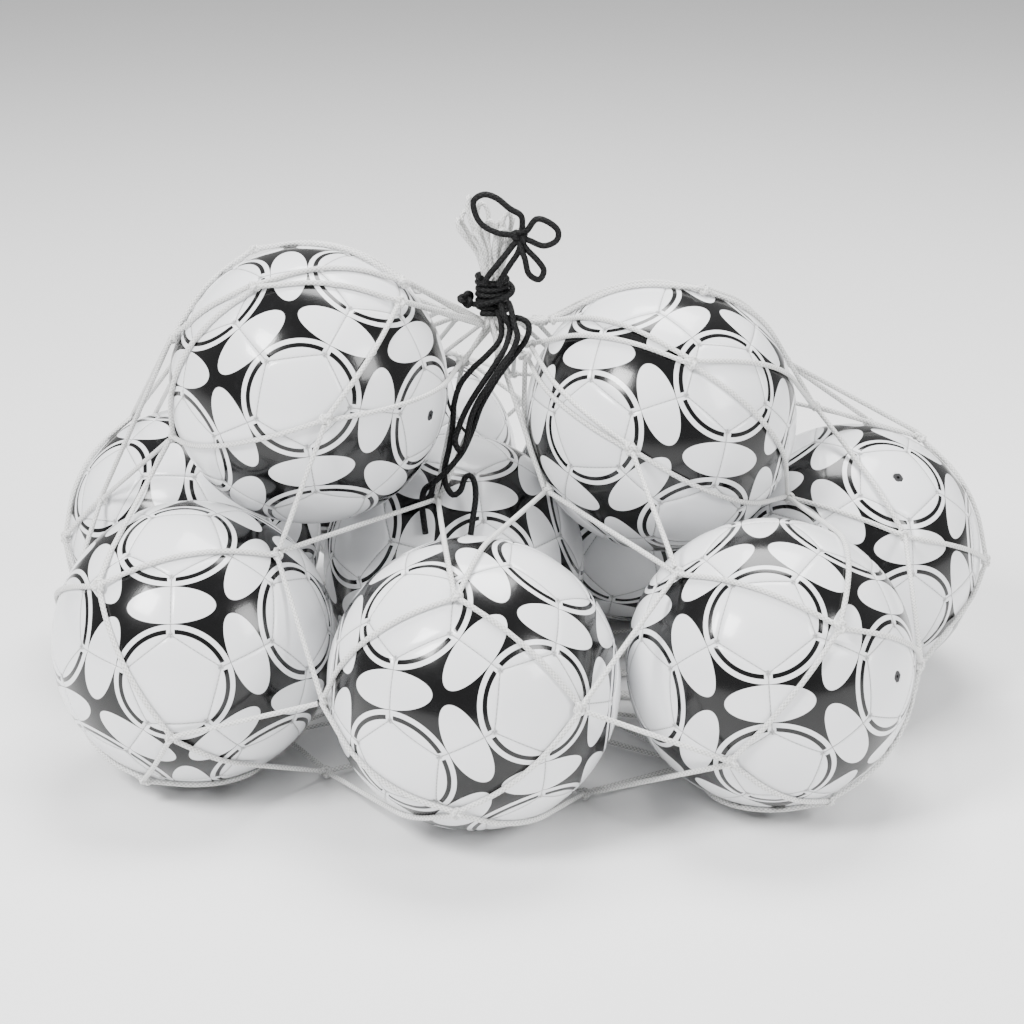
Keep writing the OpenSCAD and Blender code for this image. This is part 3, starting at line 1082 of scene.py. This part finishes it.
# %% Free runs of the drawcord
RISER_A = [
    (-25, -13, 360), (-24, -15, 366), (-16, -19, 377), (-8, -19, 387), (-3, -17, 393), (1, -15, 397),
]
RISER_B = [
    (-15, -14, 359), (-12, -15, 366), (-6, -19, 377), (0, -19, 386), (2, -17, 391), (3, -15, 396),
]
LOOP_TOP = [
    (3, -14, 400), (4, -14, 407), (3, -15, 416), (-6, -16, 422), (-16, -15, 430), (-26, -15, 433),
    (-34, -15, 428),
    (-33, -16, 418), (-27, -18, 409), (-15, -19, 403), (-5, -17, 401), (1, -15, 399),
]
LOOP_RIGHT = [
    (3, -14, 400), (8, -14, 404), (15, -15, 413), (24, -15, 411), (32, -15, 404), (31, -16, 396),
    (21, -17, 392), (10, -16, 396), (4, -15, 398),
]
LOOP_LOW = [
    (3, -15, 397), (7, -17, 390), (16, -20, 381), (21, -21, 373), (17, -22, 366), (9, -23, 371),
    (6, -23, 383), (3, -20, 390), (2, -16, 396),
]
TAIL_RIGHT = [
    (-14, -13, 338), (-9, -18, 334), (2, -21, 334), (9, -23, 329), (7, -25, 318), (-1, -27, 307),
    (-12, -31, 294),
    (-21, -35, 281), (-30, -41, 266), (-36, -46, 250), (-43, -55, 236), (-51, -63, 227),
    (-59, -66, 219),
    (-68, -66, 211), (-75, -60, 203), (-77, -62, 193), (-76, -69, 184), (-74, -79, 173),
]
TAIL_LEFT = [
    (-16, -12, 338), (-13, -19, 330), (-14, -26, 318), (-24, -28, 306), (-36, -30, 295),
    (-46, -34, 283), (-51, -40, 268),
    (-52, -45, 253), (-55, -54, 236), (-58, -58, 224), (-59, -61, 216), (-57, -66, 208),
    (-52, -69, 202),
    (-46, -67, 205), (-43, -63, 213), (-39, -62, 216), (-35, -64, 211), (-34, -69, 199),
    (-36, -76, 186),
    (-38, -83, 173),
]
TAIL_BIGHT = [
    (-14, -13, 345), (-12, -21, 341), (-9, -25, 334), (-6, -25, 326), (-10, -33, 313),
    (-18, -35, 300), (-27, -38, 287), (-36, -42, 274), (-43, -46, 262),
    (-48, -51, 250), (-50, -57, 243), (-47, -61, 237), (-42, -61, 240), (-40, -55, 249),
    (-37, -49, 261),
    (-31, -44, 273), (-22, -41, 286), (-13, -37, 299), (-4, -33, 311), (0, -31, 322),
    (-3, -27, 332), (-5, -21, 341), (-7, -14, 345),
]
RUNS = [
    ("riser_a", RISER_A, "drawcord_risers", "neck", "taut", "object"),
    ("riser_b", RISER_B, "drawcord_risers", "neck", "taut", "object"),
    ("loop_top", LOOP_TOP, "drawcord_loop_top", "neck", "loose", "object"),
    ("loop_right", LOOP_RIGHT, "drawcord_loop_right", "neck", "loose", "object"),
    ("loop_low", LOOP_LOW, "drawcord_loop_low", "neck", "loose", "object"),
    ("tail_right_strand", TAIL_RIGHT, "tail_right", "bag", "hanging", "bare"),
    ("tail_left_strand", TAIL_LEFT, "tail_left", "bag", "hanging", "bare"),
    ("tail_bight_strand", TAIL_BIGHT, "tail_bight", "bag", "hanging", "object"),
]
for name, route, node, body, lay, far_end in RUNS:
    line = spline(route, 2.0)
    run = make_cords(name, [line], drawcord_mat, DRAW_R, 10)
    if body == "bag":
        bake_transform(run)
    else:
        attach(run, body)
    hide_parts(node)

# %% [markdown]
# ## Stitches
#
# The panels are sewn edge to edge, and what shows is a row of short dashes of thread down in each
# seam. One node group lays them on the ninety seams of one ball. The other nine balls get a copy, each
# turned as its own ball is.

# %% Stitches on one ball
thread_mat, t, shader = start_material("seam_thread", Roughness=0.6)
fuzz = noise(t, 3000.0)
plug(t, blend_colour(t, fuzz, (0.50, 0.50, 0.49, 1), (0.72, 0.72, 0.71, 1)), shader, "Base Color")
stitch_tree, given = new_group("stitches_on_seams", [
    ("Spacing", "NodeSocketFloat", 0.0034),
    ("Long", "NodeSocketFloat", 0.0021),
    ("Thick", "NodeSocketFloat", 0.00028),
    ("Material", "NodeSocketMaterial", None),
])
seams = add(stitch_tree, "GeometryNodeMeshToCurve", None, {"Mesh": given["Geometry"]})
dots = add(
    stitch_tree,
    "GeometryNodeCurveToPoints",
    {"mode": "LENGTH"},
    {"Curve": seams, "Length": given["Spacing"]},
)
turned = Wire(stitch_tree, dots.socket.node.outputs["Rotation"])
bead = add(stitch_tree, "GeometryNodeMeshUVSphere", None, {"Segments": 5, "Rings": 4, "Radius": 1.0})
thin = given["Thick"]
stretch = add(
    stitch_tree, "ShaderNodeCombineXYZ", None, {"X": thin, "Y": thin, "Z": given["Long"] * 0.5},
)
placed = add(
    stitch_tree,
    "GeometryNodeInstanceOnPoints",
    None,
    {"Points": dots, "Instance": bead, "Rotation": turned, "Scale": stretch},
)
finish_group(stitch_tree, placed, given["Material"])
seam_lines = []
for i, j in edge_pairs:
    if i < j:
        seam_lines.append((corners[i, j], corners[j, i]))
for _, ring_points, is_pent in panels:
    if is_pent:
        seam_lines += [(ring_points[k], ring_points[(k + 1) % 5]) for k in range(5)]
sample = np.linspace(0.03, 0.97, 12)
THREAD_R = BALL_R - 0.75
threads = [np.array([slerp(a, b, s) for s in sample]) * THREAD_R for a, b in seam_lines]
stitch_pattern = lines_piece("stitch_pattern", threads, thread_mat)
grow(stitch_pattern, stitch_tree, Spacing=0.0034, Long=0.0021, Thick=0.00028, Material=thread_mat)
print("seams:", len(seam_lines), "stitch faces on one ball:", len(stitch_pattern.data.polygons))

# %% Stitches on every ball
for number, (centre, turn) in enumerate(zip(CENTRES, TURNS), 1):
    mesh = stitch_pattern.data.copy()
    mesh.transform(Matrix.Translation(mm(centre)) @ Matrix(ball_frame(*turn)).to_4x4())
    mesh.name = f"ball_{number}_stitches"
    piece = bpy.data.objects.new(f"ball_{number}_stitches", mesh)
    scene.collection.objects.link(piece)
    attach(piece, f"ball_{number}")
bpy.data.objects.remove(stitch_pattern)
print("stitches copied to", len(CENTRES), "balls")

# %% [markdown]
# ## Rubber parts
#
# The valve is a soft rubber plug in the middle of one pentagon, with a hole for the pump's needle.
# The bladder inside can't be seen, and keeps its exact shape too.

# %% Rubber
rubber_mat, t, shader = start_material("valve_rubber", Specular_IOR_Level=0.4)
dust = noise(t, 700.0, 3.0)
plug(t, blend_colour(t, dust, (0.010, 0.010, 0.011, 1), (0.030, 0.030, 0.032, 1)), shader, "Base Color")
plug(t, 0.45 + dust * 0.2, shader, "Roughness")
plug(t, raised(t, dust * 0.03), shader, "Normal")
for name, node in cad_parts.items():
    if name.endswith("_valve") or name.endswith("_bladder"):
        node.data.materials.clear()
        node.data.materials.append(rubber_mat)
print("rubber on", sum(n.endswith(("_valve", "_bladder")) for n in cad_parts), "parts")

# %% [markdown]
# ## Floor and light
#
# A pale floor, a bright even surround, and large soft lamps. A glossy ball shows its lamps as bright
# windows, so their size and place decide how the cover looks.

# %% Floor
floor_mat, t, shader = start_material("pale_floor", Roughness=0.7, Specular_IOR_Level=0.2)
haze = noise(t, 1.5)
plug(t, blend_colour(t, haze, (0.86, 0.86, 0.86, 1), (0.88, 0.88, 0.88, 1)), shader, "Base Color")
FLOOR_HALF = 15.0
floor_corners = [(x * FLOOR_HALF, y * FLOOR_HALF, 0) for x, y in ((-1, -1), (1, -1), (1, 1), (-1, 1))]
floor = new_piece("floor", floor_corners, [(0, 1, 2, 3)], floor_mat, smooth=False)

# %% Lamps


def lamp(name, place, target, width, height, power):
    """A soft rectangular lamp at a place, facing a target."""
    data = bpy.data.lights.new(name, "AREA")
    data.shape, data.size, data.size_y, data.energy = "RECTANGLE", width, height, power
    piece = bpy.data.objects.new(name, data)
    scene.collection.objects.link(piece)
    piece.location = place
    piece.rotation_euler = (Vector(target) - Vector(place)).to_track_quat("-Z", "Y").to_euler()
    return piece


MIDDLE = (0.0, 0.0, 0.18)
lamp("key", (-1.7, -1.5, 2.3), MIDDLE, 0.9, 0.9, 150)
lamp("fill", (2.0, -1.4, 1.5), MIDDLE, 0.8, 1.1, 55)
lamp("top", (0.2, 0.7, 2.6), MIDDLE, 1.6, 1.2, 115)
world = bpy.data.worlds.new("surround")
world.use_nodes = True
world.node_tree.nodes["Background"].inputs[0].default_value = (1, 1, 1, 1)
world.node_tree.nodes["Background"].inputs[1].default_value = 0.5
scene.world = world
